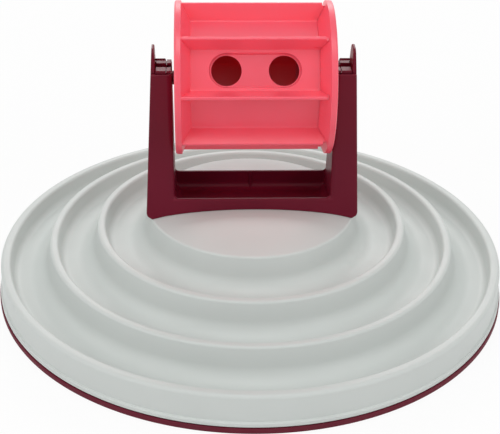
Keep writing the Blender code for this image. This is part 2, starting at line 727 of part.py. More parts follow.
def make_pin(name, side):
    """A shouldered pin: its head is inside the drum and its outer end lies in the stand's slot."""
    hub_end = DRUM_HALF_LENGTH + HUB_PROUD
    head = disc_face_x - GAP
    collar = hub_end + GAP
    end = tongue_inner_x - 2 * GAP
    outline = rounded(
        [
            (0, head - PIN_HEAD_THICKNESS),
            (PIN_HEAD_RADIUS, head - PIN_HEAD_THICKNESS, PIN_HEAD_THICKNESS / 2),
            (PIN_HEAD_RADIUS, head),
            (PIN_RADIUS, head),
            (PIN_RADIUS, collar),
            (PIN_COLLAR_RADIUS, collar),
            (PIN_COLLAR_RADIUS, collar + PIN_COLLAR_THICKNESS),
            (PIN_RADIUS, collar + PIN_COLLAR_THICKNESS),
            (PIN_RADIUS, end, PIN_RADIUS / 4),
            (0, end),
        ]
    )
    return turned(name, [(radius, side * x) for radius, x in outline], SMALL_STEPS, "X")


def main():
    for obj in list(bpy.data.objects):
        bpy.data.objects.remove(obj)
    pale_grey = material("pale_grey_plastic", 215, 216, 213, 0.42)
    burgundy = material("burgundy_plastic", 92, 20, 42, 0.3)
    burgundy_rubber = material("burgundy_rubber", 84, 22, 44, 0.7)
    coral = material("coral_plastic", 255, 100, 118, 0.38)
    steel = material("screw_steel", 150, 152, 155, 0.35, 1.0)

    finish(make_tray(), pale_grey)
    finish(make_foot_ring(), burgundy_rubber)
    finish(make_stand(), burgundy)
    finish(mirror(make_cradle("cradle_left")), burgundy)
    finish(make_cradle("cradle_right"), burgundy)
    for number, (x, y) in enumerate(screw_places(), 1):
        finish(make_screw(f"stand_screw_{number}", x, y), steel)

    axle_line = bpy.data.objects.new("axle_line", None)
    axle_line.location = (0, 0, axle_height)
    bpy.context.scene.collection.objects.link(axle_line)
    pins = [make_pin("axle_pin_left", -1), make_pin("axle_pin_right", 1)]
    drum = [make_drum_body(), make_drum_cap()]
    for pin in pins:
        pin.parent = axle_line
        finish(pin, burgundy)
    for piece in drum:
        piece.parent = axle_line
        piece.rotation_euler.x = -OUTLET_TILT
        finish(piece, coral, 30)


main()
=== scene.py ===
"""Looks of the slow-feeding treat tray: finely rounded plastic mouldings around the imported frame, in a pale studio."""

import json
import math

import bmesh
import bpy
from mathutils import Matrix, Vector

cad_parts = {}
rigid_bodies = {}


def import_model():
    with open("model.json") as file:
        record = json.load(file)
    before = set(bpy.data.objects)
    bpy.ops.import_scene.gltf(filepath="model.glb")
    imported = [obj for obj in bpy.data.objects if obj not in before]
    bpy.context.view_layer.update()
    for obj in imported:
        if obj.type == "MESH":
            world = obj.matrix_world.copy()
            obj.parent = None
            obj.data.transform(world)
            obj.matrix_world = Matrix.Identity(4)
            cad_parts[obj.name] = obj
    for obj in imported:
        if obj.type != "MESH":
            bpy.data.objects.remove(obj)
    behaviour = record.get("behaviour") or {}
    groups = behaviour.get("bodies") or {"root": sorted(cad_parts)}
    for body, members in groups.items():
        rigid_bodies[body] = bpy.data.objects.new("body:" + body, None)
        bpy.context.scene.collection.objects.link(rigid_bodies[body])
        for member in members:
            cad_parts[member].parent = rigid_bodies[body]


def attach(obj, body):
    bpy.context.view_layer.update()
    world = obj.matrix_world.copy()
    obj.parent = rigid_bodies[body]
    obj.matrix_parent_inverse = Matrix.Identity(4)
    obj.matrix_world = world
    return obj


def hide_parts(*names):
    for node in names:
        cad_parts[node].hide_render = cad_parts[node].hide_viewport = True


for leftover in list(bpy.data.objects):
    bpy.data.objects.remove(leftover)
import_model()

MM = 0.001
GAP = 0.3 * MM  # between pieces that rest on or lie in each other
SEAM = 0.12 * MM  # the line in view between the drum and its cap
CUT_REACH = 10.0 * MM  # how far a cutter passes the surface that it opens

# Drum
PADDLES = 8
DRUM_RADIUS = 39.8 * MM
DRUM_HALF_LENGTH = 40.5 * MM
DISC_RIM_THICKNESS = 3.3 * MM
DISC_WALL = 2.4 * MM
DISC_DISH = 4.9 * MM
RIM_ABOVE_PADDLES = 0.4 * MM
CORE_APOTHEM = 28.3 * MM
CORE_WALL = 3.2 * MM
PADDLE_TIP_THICKNESS = 1.7 * MM
PADDLE_ROOT_THICKNESS = 2.8 * MM
PADDLE_ROOT_FILLET = 0.9 * MM
PADDLE_TIP_FILLET = 0.6 * MM
PADDLE_END_NOTCH = 1.4 * MM
OUTLET_RADIUS = 7.65 * MM
OUTLET_SPACING = 29.0 * MM
OUTLET_RECESS_LEDGE = 0.4 * MM
OUTLET_RECESS_MARGIN = 1.1 * MM
OUTLET_RECESS_DEPTH = 2.0 * MM
OUTLET_EDGE_FILLET = 0.3 * MM
OUTLET_TILT = math.radians(30.4)
CAP_SPIGOT_DEPTH = 8.0 * MM
CAP_SPIGOT_WALL = 1.8 * MM
CAP_HOOK_LENGTH = 2.2 * MM
CAP_HOOK_WIDTH = 8.0 * MM
CAP_HOOK_INSET = 3.0 * MM
CAP_HOOK_TURNS = (math.pi / 2, -math.pi / 2)
SNAP_SLIT_LENGTH = 3.9 * MM  # in two paddles, beside the cap
SNAP_SLIT_WIDTH = 0.5 * MM
SNAP_SLIT_RADIUS = 32.3 * MM

# Axle pins
PIN_RADIUS = 2.1 * MM
PIN_COLLAR_RADIUS = 3.6 * MM
PIN_COLLAR_THICKNESS = 0.8 * MM
PIN_HEAD_RADIUS = 3.2 * MM
PIN_HEAD_THICKNESS = 1.4 * MM
HUB_RADIUS = 6.0 * MM
HUB_PROUD = 0.5 * MM
SLOT_CLEARANCE = 0.3 * MM
STAND_SLOT_CLEARANCE = 1.4 * MM

# Stand
UPRIGHT_CLEARANCE = 1.9 * MM
UPRIGHT_LEAN = 0.6 * MM
UPRIGHT_TOP_THICKNESS = 10.75 * MM
UPRIGHT_FOOT_THICKNESS = 15.3 * MM
STAND_FOOT_DEPTH = 33.2 * MM
STAND_FOOT_OVERHANG = 0.8 * MM
STAND_FOOT_RISE = 1.6 * MM
UPRIGHT_ABOVE_AXLE = 5.6 * MM
DRUM_ABOVE_CROSSBAR = 22.35 * MM
CROSSBAR_ABOVE_DOME = 7.7 * MM
TROUGH_WALL = 1.8 * MM
TROUGH_FLOOR = 1.8 * MM
TROUGH_FLOOR_DROP = 3.2 * MM
FRONT_WALL_DROP = 2.0 * MM  # the trough's front wall is lower than its back wall
TROUGH_FLOOR_FILLET = 4.5 * MM
TROUGH_CORNER = 1.0 * MM
TROUGH_RIM_FILLET = 0.5 * MM
TROUGH_RIB_WIDTH = 1.2 * MM
TROUGH_RIB_PROUD = 0.5 * MM
WINDOW_FILLET = 2.4 * MM
STAND_EDGE_FILLET = 0.9 * MM
STAND_FOOT_FILLET = 2.2 * MM
UPRIGHT_INNER_FILLET = 2.6 * MM

# Cradles
CRADLE_DEPTH = 16.0 * MM
CRADLE_SIDE_WALL = 1.6 * MM
CRADLE_PLUG_LENGTH = 25.0 * MM
CRADLE_ABOVE_RIM = 1.4 * MM
CRADLE_HEAD_CLEARANCE = 0.2 * MM
CRADLE_HEAD_GROOVE = 0.5 * MM
CRADLE_HEAD_GROOVE_DEPTH = 0.9 * MM
CRADLE_INNER_WALL = 2.2 * MM
CRADLE_LEDGE_HEIGHT = 0.7 * MM
CRADLE_LEDGE_THICKNESS = 0.9 * MM
CRADLE_EDGE_FILLET = 0.35 * MM
CRADLE_SHADOW_GAP = 0.6 * MM  # extra room around the cradle at the upright's mouth
CRADLE_SHADOW_DEPTH = 2.5 * MM
TONGUE_THICKNESS = 2.2 * MM
TONGUE_LENGTH = 6.2 * MM
FIN_HEIGHT = 10.4 * MM
FIN_TIP_THICKNESS = 1.3 * MM
FIN_TIP_DEPTH = 11.0 * MM
FIN_CORNER = 3.0 * MM
FIN_EDGE_THINNING = 0.45  # how much of its thickness the fin loses along its top edge

# Tray
GROOVES = 3
GROOVE_PITCH = 26.37 * MM
GROOVE_DEPTH = 9.4 * MM
RIM_HEIGHT = 21.0 * MM
RIDGE_RISE = 8.6 * MM
DOME_RISE = 6.0 * MM
DOME_EDGE_SHARE = 0.18  # how much of the rise lies in the dome's last steep part
DOME_EDGE_POWER = 8  # how late that part begins
TRAY_WALL = 2.6 * MM
RIDGE_INNER_WIDTH = 2.2 * MM
RIDGE_OUTER_WIDTH = 1.9 * MM
RIDGE_INNER_FILLET = 1.7 * MM
RIDGE_OUTER_FILLET = 1.8 * MM
INNER_WALL_DRAFT = 2.0 * MM
OUTER_WALL_DRAFT = 4.1 * MM
GROOVE_INNER_FILLET = 10.0 * MM
GROOVE_OUTER_FILLET = 4.0 * MM
RIM_OUTER_WIDTH = 3.0 * MM
RIM_OUTER_FILLET = 2.0 * MM
LIP_WIDTH = 1.2 * MM
LIP_HEIGHT = 2.6 * MM
LIP_TOP_ROUNDING = 0.6  # of the lip's width
LIP_FOOT_ROUNDING = 0.3

# Non-slip ring
FOOT_RING_HEIGHT = 3.0 * MM
FOOT_RING_WIDTH = 9.0 * MM
FOOT_RING_PROUD = 0.5 * MM
FOOT_RING_COLLAR = 2.4 * MM
FOOT_RING_COLLAR_HEIGHT = 6.0 * MM
FOOT_RING_GROOVE = 0.5 * MM

# Screws
SCREW_RADIUS = 1.5 * MM
SCREW_LENGTH = 14.0 * MM
SCREW_HEAD_RADIUS = 3.4 * MM
SCREW_HEAD_HEIGHT = 2.2 * MM
SCREW_HEAD_ROUNDING = 0.7  # of the head's height
SCREW_SPACING = 15.0 * MM
SCREW_FROM_MIDDLE = 49.6 * MM
SCREW_RECESS_WIDTH = 0.9 * MM
SCREW_RECESS_LENGTH = 3.8 * MM
SCREW_RECESS_DEPTH = 1.2 * MM
THREAD_PITCH = 1.2 * MM
THREAD_DEPTH = 0.25 * MM

# Fineness
TURNED_STEPS = 240
DISC_STEPS = 144
OUTLET_STEPS = 72
SMALL_STEPS = 48
STADIUM_STEPS = 32
SLOT_STEPS = 24
DOME_STEPS = 12
DOME_CUTTER_STEPS = 20
TROUGH_FLOOR_STEPS = 8
QUARTER_STEPS = 5
CORNER_STEP = math.radians(10)
SMALL_CORNER_STEP = math.radians(15)
BOX_CORNER_STEP = math.radians(18)
STAND_BEVEL_SEGMENTS = 6
LEDGE_BEVEL_SEGMENTS = 3
BEVEL_ANGLE = math.radians(35)
SHARP_ANGLE = math.radians(30)
ON_AXIS = 1e-7  # a point nearer to the axis than this lies on it
MERGE_REACH = GAP / 100

# Camera, from the photograph's perspective: a 90 mm lens on a 36 mm sensor
CAMERA_PLACE = (-26.9 * MM, -603.3 * MM, 381.8 * MM)
CAMERA_HEADING = math.radians(2.5)
CAMERA_PITCH = math.radians(29.6)
CAMERA_ROLL = math.radians(0.857)
LENS = 90.0
SENSOR_WIDTH = 36.0

# Surfaces, sizes in metres
PLASTIC_IOR = 1.5
NOISE_LOW, NOISE_HIGH = 0.3, 0.7  # the part of a noise's range that a look runs through
COLOUR_DRIFT_SIZE = 0.045
GLOSS_DRIFT_SIZE = 0.012
GRAIN_STRENGTH = 0.35

# Stage, in metres and watts
WORLD_LEVEL = 0.42  # the world's light on the object
FLOOR_RADIUS = 3.0
FLOOR_PAPER = (0.97, 0.97, 0.97, 1)
FLOOR_GLOW = 0.90  # how much of the floor is plain white; the rest keeps the object's shadow
LAMP_TARGET = (0, 0, 0.06)
LAMPS = (  # name, place, size, energy
    ("key", (-0.06, -0.38, 1.22), (0.5, 0.45), 3.2),
    ("back", (0.05, 1.3, 0.82), (1.1, 0.55), 6.4),
    ("left", (-1.25, 0.0, 0.7), (0.7, 0.6), 1.3),
    ("right", (1.25, 0.0, 0.7), (0.7, 0.6), 1.2),
    ("front_left", (-0.9, -0.9, 0.8), (0.6, 0.6), 3.0),
    ("front_right", (0.9, -0.9, 0.8), (0.6, 0.6), 2.6),
)

# Places that follow from the sizes above
window_top_x = DRUM_HALF_LENGTH + UPRIGHT_CLEARANCE
window_foot_x = window_top_x - UPRIGHT_LEAN
upright_top_x = window_top_x + UPRIGHT_TOP_THICKNESS
stand_foot_x = window_foot_x + UPRIGHT_FOOT_THICKNESS
platform_radius = stand_foot_x - STAND_FOOT_OVERHANG
ridge_radii = [platform_radius + GROOVE_PITCH * (i + 1) for i in range(GROOVES)]
ridge_heights = [RIM_HEIGHT + RIDGE_RISE * (GROOVES - 1 - i) for i in range(GROOVES)]
platform_height = RIM_HEIGHT + RIDGE_RISE * GROOVES
dome_height = platform_height + DOME_RISE
tray_radius = ridge_radii[-1] + RIM_OUTER_WIDTH
lip_radius = tray_radius + LIP_WIDTH
foot_ring_radius = lip_radius + FOOT_RING_PROUD
crossbar_height = dome_height + CROSSBAR_ABOVE_DOME
axle_height = crossbar_height + DRUM_ABOVE_CROSSBAR + DRUM_RADIUS
stand_height = axle_height + UPRIGHT_ABOVE_AXLE
stand_foot_height = platform_height - TRAY_WALL
foot_edge_height = platform_height + STAND_FOOT_RISE
upright_top_depth = CRADLE_DEPTH + 2 * CRADLE_SIDE_WALL
trough_floor_height = dome_height - TROUGH_FLOOR_DROP
seat_height = trough_floor_height - TROUGH_FLOOR - GAP
trough_half_length = window_foot_x - TROUGH_WALL
trough_half_depth = STAND_FOOT_DEPTH / 2 - TROUGH_WALL
cradle_inner_x = window_top_x + CRADLE_INNER_WALL + GAP
tongue_inner_x = upright_top_x - TONGUE_THICKNESS
tongue_foot_height = stand_height - TONGUE_LENGTH
cradle_top = stand_height + CRADLE_ABOVE_RIM
disc_face_x = DRUM_HALF_LENGTH - DISC_RIM_THICKNESS - DISC_DISH
paddle_radius = DRUM_RADIUS - RIM_ABOVE_PADDLES
core_corner_radius = CORE_APOTHEM / math.cos(math.pi / PADDLES)
bore_apothem = CORE_APOTHEM - CORE_WALL
core_end_x = disc_face_x - SEAM
disc_foot_radius = (CORE_APOTHEM - GAP) / math.cos(math.pi / PADDLES)


# Shapes


def new_object(name, bm):
    """An object with this bmesh, its faces turned outwards."""
    bmesh.ops.recalc_face_normals(bm, faces=bm.faces)
    mesh = bpy.data.meshes.new(name)
    bm.to_mesh(mesh)
    bm.free()
    obj = bpy.data.objects.new(name, mesh)
    bpy.context.scene.collection.objects.link(obj)
    return obj


def applied(obj):
    """obj with its modifiers' result as its mesh."""
    bpy.context.view_layer.update()
    graph = bpy.context.evaluated_depsgraph_get()
    mesh = bpy.data.meshes.new_from_object(obj.evaluated_get(graph))
    obj.modifiers.clear()
    obj.data = mesh
    return obj


def combine(obj, tool, operation):
    """Joins tool to obj or cuts it out, and removes tool."""
    modifier = obj.modifiers.new(operation.lower(), "BOOLEAN")
    modifier.operation = operation
    modifier.object = tool
    applied(obj)
    bpy.data.objects.remove(tool)
    return obj


def rounded(corners, step=CORNER_STEP):
    """Points of an outline. A corner is (a, b) or (a, b, fillet radius)."""
    points = []
    for i, corner in enumerate(corners):
        here = Vector(corner[:2])
        if len(corner) == 2 or corner[2] <= 0:
            points.append(here)
            continue
        back = (Vector(corners[i - 1][:2]) - here).normalized()
        on = (Vector(corners[(i + 1) % len(corners)][:2]) - here).normalized()
        turn = math.pi - back.angle(on)
        tangent = corner[2] * math.tan(turn / 2)
        centre = here + (back + on).normalized() * corner[2] / math.cos(turn / 2)
        start = here + back * tangent - centre
        steps = max(1, round(turn / step))
        sign = 1 if start.x * (here - centre).y - start.y * (here - centre).x > 0 else -1
        for k in range(steps + 1):
            points.append(centre + Matrix.Rotation(sign * turn * k / steps, 2) @ start)
    return points


def turned(name, outline, steps, axis="Z"):
    """A solid turned from an outline in (radius, height), closed on itself or at the axis."""
    bm = bmesh.new()
    rows = []
    for radius, height in outline:
        count = steps if radius > ON_AXIS else 1
        ring = []
        for k in range(count):
            angle = 2 * math.pi * k / steps
            across, up = radius * math.cos(angle), radius * math.sin(angle)
            place = (across, up, height) if axis == "Z" else (height, across, up)
            ring.append(bm.verts.new(place))
        rows.append(ring)
    for first, second in zip(rows, rows[1:] + rows[:1]):
        if len(first) == len(second) == 1:
            continue
        for k in range(steps):
            corners = [first[k % len(first)], first[(k + 1) % len(first)]]
            corners += [second[(k + 1) % len(second)], second[k % len(second)]]
            bm.faces.new(dict.fromkeys(corners))
    return new_object(name, bm)


def lofted(name, rings):
    """A solid through rings of points, closed at both ends."""
    bm = bmesh.new()
    rows = [[bm.verts.new(point) for point in ring] for ring in rings]
    for first, second in zip(rows, rows[1:]):
        for k in range(len(first)):
            after = (k + 1) % len(first)
            bm.faces.new((first[k], first[after], second[after], second[k]))
    bm.faces.new(rows[0])
    bm.faces.new(rows[-1])
    return new_object(name, bm)


def prism(name, outline, low, high, place):
    """A solid between two copies of an outline. place(a, b, along) gives a corner's point."""
    return lofted(name, [[place(a, b, along) for a, b in outline] for along in (low, high)])


def box(name, low, high):
    corners = [(low[0], low[1]), (high[0], low[1]), (high[0], high[1]), (low[0], high[1])]
    return prism(name, corners, low[2], high[2], lambda x, y, z: (x, y, z))


def rounded_box_ring(low_x, high_x, half_y, z, corner):
    """A rectangle with round corners, level at z."""
    corners = [(low_x, -half_y, corner), (high_x, -half_y, corner)]
    corners += [(high_x, half_y, corner), (low_x, half_y, corner)]
    return [(x, y, z) for x, y in rounded(corners, BOX_CORNER_STEP)]


def mirrored(points):
    """Corners on the right, with their mirror images added on the left in reverse."""
    return points + [(-corner[0], *corner[1:]) for corner in reversed(points)]


def mirror(obj):
    """Turns a piece on the right into its mirror image on the left."""
    obj.data.transform(Matrix.Scale(-1, 4, (1, 0, 0)))
    obj.data.flip_normals()
    return obj


def soften(obj, width):
    """Rounds every sharp edge."""
    modifier = obj.modifiers.new("bevel", "BEVEL")
    modifier.width = width
    modifier.segments = LEDGE_BEVEL_SEGMENTS
    modifier.limit_method = "ANGLE"
    modifier.angle_limit = BEVEL_ANGLE
    modifier.miter_outer = "MITER_ARC"
    return applied(obj)


def quarter(radius, steps=QUARTER_STEPS):
    """(inwards, along) points of a quarter round that ends a straight run of wall."""
    angles = [math.pi / 2 * k / steps for k in range(steps + 1)]
    return [(radius * (1 - math.cos(a)), radius * math.sin(a)) for a in angles]


# Tray and its non-slip ring


def dome_at(radius):
    """Height of the platform's domed top, which falls faster near its edge."""
    share = radius / platform_radius
    edge = DOME_EDGE_SHARE * min(share, 1) ** DOME_EDGE_POWER
    return dome_height - DOME_RISE * ((1 - DOME_EDGE_SHARE) * share ** 2 + edge)


def tray_top():
    """Corners of the tray's upper side, from the middle out to the foot of the rim."""
    dome = [platform_radius * k / DOME_STEPS for k in range(DOME_STEPS)]
    corners = [(radius, dome_at(radius)) for radius in dome]
    corners.append((platform_radius, platform_height, RIDGE_OUTER_FILLET))
    radius, height = platform_radius, platform_height
    for ridge, top in zip(ridge_radii, ridge_heights):
        floor = top - GROOVE_DEPTH
        wall_foot = radius + OUTER_WALL_DRAFT * (height - floor) / (GROOVE_DEPTH + RIDGE_RISE)
        corners.append((wall_foot, floor, GROOVE_INNER_FILLET))
        corners.append((ridge - RIDGE_INNER_WIDTH - INNER_WALL_DRAFT, floor, GROOVE_OUTER_FILLET))
        corners.append((ridge - RIDGE_INNER_WIDTH, top, RIDGE_INNER_FILLET))
        if ridge != ridge_radii[-1]:
            corners.append((ridge + RIDGE_OUTER_WIDTH, top, RIDGE_OUTER_FILLET))
        radius, height = ridge + RIDGE_OUTER_WIDTH, top
    foot = FOOT_RING_HEIGHT + GAP
    corners.append((tray_radius, RIM_HEIGHT, RIM_OUTER_FILLET))
    corners.append((tray_radius, foot + LIP_HEIGHT, LIP_WIDTH / 3))
    corners.append((lip_radius, foot + LIP_HEIGHT, LIP_WIDTH * LIP_TOP_ROUNDING))
    corners.append((lip_radius, foot, LIP_WIDTH * LIP_FOOT_ROUNDING))
    return corners


def tray_underside():
    """Corners of the tray's lower side, from the rim's foot in to the middle."""
    foot = FOOT_RING_HEIGHT + GAP
    inner = tray_radius - TRAY_WALL
    corners = [(inner, foot), (inner, RIM_HEIGHT - GROOVE_DEPTH)]
    for i in reversed(range(GROOVES)):
        under = ridge_heights[i] - GROOVE_DEPTH - TRAY_WALL
        above = ridge_radii[i - 1] + RIDGE_OUTER_WIDTH if i else platform_radius
        corners.append((ridge_radii[i] - RIDGE_INNER_WIDTH, under, TRAY_WALL / 2))
        wall_foot = above + OUTER_WALL_DRAFT - TRAY_WALL / 2
        corners.append((wall_foot, under, GROOVE_INNER_FILLET + TRAY_WALL))
        above_height = ridge_heights[i - 1] - GROOVE_DEPTH if i else platform_height
        corners.append((above - TRAY_WALL, above_height - TRAY_WALL, TRAY_WALL / 3))
    corners.append((0, seat_height - TRAY_WALL))
    return corners


def make_tray():
    outline = rounded(tray_top()) + rounded(tray_underside())
    tray = turned("tray_shell", outline, TURNED_STEPS)
    reach = trough_half_length + GAP
    levels = (seat_height, crossbar_height)
    rings = [rounded_box_ring(-reach, reach, trough_half_depth + GAP, z, TROUGH_CORNER) for z in levels]
    combine(tray, lofted("seat", rings), "DIFFERENCE")
    for x, y in screw_places():
        hole = turned("hole", screw_hole(), SMALL_STEPS)
        hole.data.transform(Matrix.Translation((x, y, 0)))
        combine(tray, hole, "DIFFERENCE")
    return tray


def make_foot_ring():
    """The ring has two shallow grip grooves around its underside."""
    inner = foot_ring_radius - FOOT_RING_WIDTH
    collar = tray_radius - TRAY_WALL - GAP
    grip = FOOT_RING_WIDTH / 5
    corners = [(inner, 0, FOOT_RING_PROUD)]
    for k in (1, 3):
        corners.append((inner + grip * k, 0))
        corners.append((inner + grip * (k + 0.3), FOOT_RING_GROOVE))
        corners.append((inner + grip * (k + 0.7), FOOT_RING_GROOVE))
        corners.append((inner + grip * (k + 1), 0))
    top = FOOT_RING_HEIGHT + FOOT_RING_COLLAR_HEIGHT
    corners += [
        (foot_ring_radius, 0, FOOT_RING_PROUD * 0.8),
        (foot_ring_radius, FOOT_RING_HEIGHT, FOOT_RING_PROUD),
        (collar, FOOT_RING_HEIGHT),
        (collar, top, FOOT_RING_PROUD),
        (collar - FOOT_RING_COLLAR, top, FOOT_RING_PROUD),
        (collar - FOOT_RING_COLLAR, FOOT_RING_HEIGHT, FOOT_RING_PROUD),
        (inner, FOOT_RING_HEIGHT, FOOT_RING_PROUD),
    ]
    return turned("foot_ring", rounded(corners, BOX_CORNER_STEP), TURNED_STEPS)


# Screws


def screw_places():
    return [(sx * SCREW_FROM_MIDDLE, sy * SCREW_SPACING / 2) for sx in (-1, 1) for sy in (-1, 1)]


def screw_head_top():
    return dome_at(math.hypot(SCREW_FROM_MIDDLE, SCREW_SPACING / 2)) - TRAY_WALL


def screw_hole():
    """A hole with a flat seat for the head, from below."""
    radius, head, seat = SCREW_RADIUS + GAP, SCREW_HEAD_RADIUS + GAP, screw_head_top()
    return [(0, 0), (head, 0), (head, seat), (radius, seat), (radius, dome_height), (0, dome_height)]


def pilot_hole():
    radius = SCREW_RADIUS + GAP
    end = screw_head_top() + SCREW_LENGTH
    return [(0, 0), (radius, 0), (radius, end - radius), (0, end)]


def make_screw(name, x, y):
    """A pan-head screw with a cross recess and a ridged shank.

    The recess isn't cut cleanly: its second arm leaves the mesh open.
    """
    top = screw_head_top() - GAP
    foot = top - SCREW_HEAD_HEIGHT
    corners = [
        (0, foot),
        (SCREW_HEAD_RADIUS, foot, SCREW_HEAD_HEIGHT * SCREW_HEAD_ROUNDING),
        (SCREW_HEAD_RADIUS, top, SCREW_HEAD_HEIGHT / 10),
        (SCREW_RADIUS, top),
    ]
    turns = int((SCREW_LENGTH - 2 * SCREW_RADIUS) / THREAD_PITCH)
    for k in range(1, turns + 1):
        crest = top + THREAD_PITCH * k
        corners.append((SCREW_RADIUS - THREAD_DEPTH, crest - THREAD_PITCH / 2))
        corners.append((SCREW_RADIUS, crest))
    corners += [(SCREW_RADIUS / 3, top + SCREW_LENGTH - SCREW_RADIUS / 2), (0, top + SCREW_LENGTH)]
    screw = turned(name, rounded(corners, SMALL_CORNER_STEP), SMALL_STEPS)
    wide, long = SCREW_RECESS_WIDTH / 2, SCREW_RECESS_LENGTH / 2
    for a, b in ((wide, long), (long, wide)):
        arm = box("arm", (-a, -b, foot - SCREW_RECESS_DEPTH), (a, b, foot + SCREW_RECESS_DEPTH))
        combine(screw, arm, "DIFFERENCE")
    screw.data.transform(Matrix.Translation((x, y, 0)))
    return screw


# Stand and cradles


def stand_half_depth(height):
    """Half the stand's depth, which narrows evenly from its foot to its top."""
    share = (height - platform_height) / (stand_height - platform_height)
    return (STAND_FOOT_DEPTH + (upright_top_depth - STAND_FOOT_DEPTH) * share) / 2


def window_x(height):
    """Where the uprights' inner faces lie at this height."""
    share = (stand_height - height) / (stand_height - crossbar_height)
    return window_top_x - UPRIGHT_LEAN * share


def crossbar_top(side):
    """Height of the crossbar's upper edge: lower in front, at side -1, than behind, at side 1."""
    return crossbar_height - FRONT_WALL_DROP * (1 - side) / 2


def stand_place(x, z, side):
    """A corner of the stand. The corners at the window's foot follow the crossbar's upper edge."""
    if z == crossbar_height:
        z = crossbar_top(side)
        x = math.copysign(window_x(z), x)
    return (x, side * stand_half_depth(z), z)


def make_stand():
    foot = stand_foot_x - STAND_FOOT_FILLET * 1.5
    outer = [(foot, stand_foot_height), (foot, platform_height), (stand_foot_x, foot_edge_height)]
    outer.append((upright_top_x, stand_height))
    inner = [(window_top_x, stand_height), (window_foot_x, crossbar_height)]
    stand = prism("stand_shell", mirrored(outer + inner), -1, 1, stand_place)
    round_stand_edges(stand)
    combine(stand, dome_with_plug(), "DIFFERENCE")
    combine(stand, trough(), "DIFFERENCE")
    inside = window_top_x - UPRIGHT_CLEARANCE
    combine(stand, upright_pocket(), "DIFFERENCE")
    combine(stand, mirror(upright_pocket()), "DIFFERENCE")
    combine(stand, slot_cutter(STAND_SLOT_CLEARANCE, inside, cradle_inner_x, stand_height), "DIFFERENCE")
    combine(stand, slot_cutter(STAND_SLOT_CLEARANCE, -inside, -cradle_inner_x, stand_height), "DIFFERENCE")
    for x, y in screw_places():
        hole = turned("hole", pilot_hole(), SMALL_STEPS)
        hole.data.transform(Matrix.Translation((x, y, 0)))
        combine(stand, hole, "DIFFERENCE")
    return stand


def stand_edge_radius(edge):
    """How far an edge of the plain stand is rounded: most where the uprights face the drum."""
    first, second = [vert.co for vert in edge.verts]
    low, high = sorted((first.z, second.z))
    reach = max(abs(first.x), abs(second.x))
    facing = reach < window_top_x + GAP
    if first.y * second.y < 0:
        if low > crossbar_height + GAP:
            return 0 if facing else STAND_EDGE_FILLET
        if low > foot_edge_height + GAP:
            return WINDOW_FILLET
        return STAND_FOOT_FILLET if reach > stand_foot_x - GAP else 0
    if facing and high - low > WINDOW_FILLET:
        return UPRIGHT_INNER_FILLET
    return STAND_EDGE_FILLET if low > stand_foot_height + GAP or high > crossbar_height else 0


def round_stand_edges(stand):
    """Rounds each edge by its own radius, and splits the faces into triangles: cut as they are, some stay open."""
    bm = bmesh.new()
    bm.from_mesh(stand.data)
    weight = bm.edges.layers.float.new("bevel_weight_edge")
    for edge in bm.edges:
        edge[weight] = stand_edge_radius(edge) / UPRIGHT_INNER_FILLET
    bm.to_mesh(stand.data)
    bm.free()
    modifier = stand.modifiers.new("rounding", "BEVEL")
    modifier.limit_method = "WEIGHT"
    modifier.width = UPRIGHT_INNER_FILLET
    modifier.segments = STAND_BEVEL_SEGMENTS
    applied(stand)
    bm = bmesh.new()
    bm.from_mesh(stand.data)
    bmesh.ops.triangulate(bm, faces=bm.faces)
    bm.to_mesh(stand.data)
    bm.free()


def dome_with_plug():
    """Clears the stand's underside to the platform's dome, but for the plug that seats in the tray."""
    reach = stand_foot_x * 1.25
    below = stand_foot_height - TRAY_WALL
    outline = [(0, below), (reach, below)]
    dome = [reach * k / DOME_CUTTER_STEPS for k in range(DOME_CUTTER_STEPS, -1, -1)]
    outline += [(radius, dome_at(radius) + GAP) for radius in dome]
    dome = turned("dome", outline, TURNED_STEPS)
    levels = (trough_floor_height - TROUGH_FLOOR, crossbar_height)
    half = trough_half_length
    rings = [rounded_box_ring(-half, half, trough_half_depth, z, TROUGH_CORNER - GAP) for z in levels]
    return combine(dome, lofted("plug", rings), "DIFFERENCE")


def trough():
    """The open hollow of the crossbar, with a round-edged floor and rim and a rib on its back wall."""
    floor, rim = trough_floor_height, crossbar_height
    floor_round = reversed(quarter(TROUGH_FLOOR_FILLET, TROUGH_FLOOR_STEPS))
    levels = [(floor + TROUGH_FLOOR_FILLET - up, -inwards) for inwards, up in floor_round]
    levels += [(rim - TROUGH_RIM_FILLET + up, out) for out, up in quarter(TROUGH_RIM_FILLET)]
    levels.append((rim + WINDOW_FILLET, TROUGH_RIM_FILLET))
    rings = []
    for z, grow in levels:
        half_x = window_x(z) - GAP / 4 + min(grow, 0)
        half_y = stand_half_depth(z) - TROUGH_WALL + grow
        ring = rounded_box_ring(-half_x, half_x, half_y, z, TROUGH_CORNER)
        if z > rim - TROUGH_RIM_FILLET - GAP:
            ring = [(x, y, crossbar_top(max(-1, min(1, y / half_y))) + z - rim) for x, y, z in ring]
        rings.append(ring)
    hollow = lofted("trough", rings)
    back = stand_half_depth(rim) - TROUGH_WALL - TROUGH_RIB_PROUD
    rib_low = (-TROUGH_RIB_WIDTH / 2, back, floor - TROUGH_FLOOR)
    rib_high = (TROUGH_RIB_WIDTH / 2, back + STAND_FOOT_DEPTH, rim - TROUGH_RIB_WIDTH)
    return combine(hollow, box("rib", rib_low, rib_high), "DIFFERENCE")


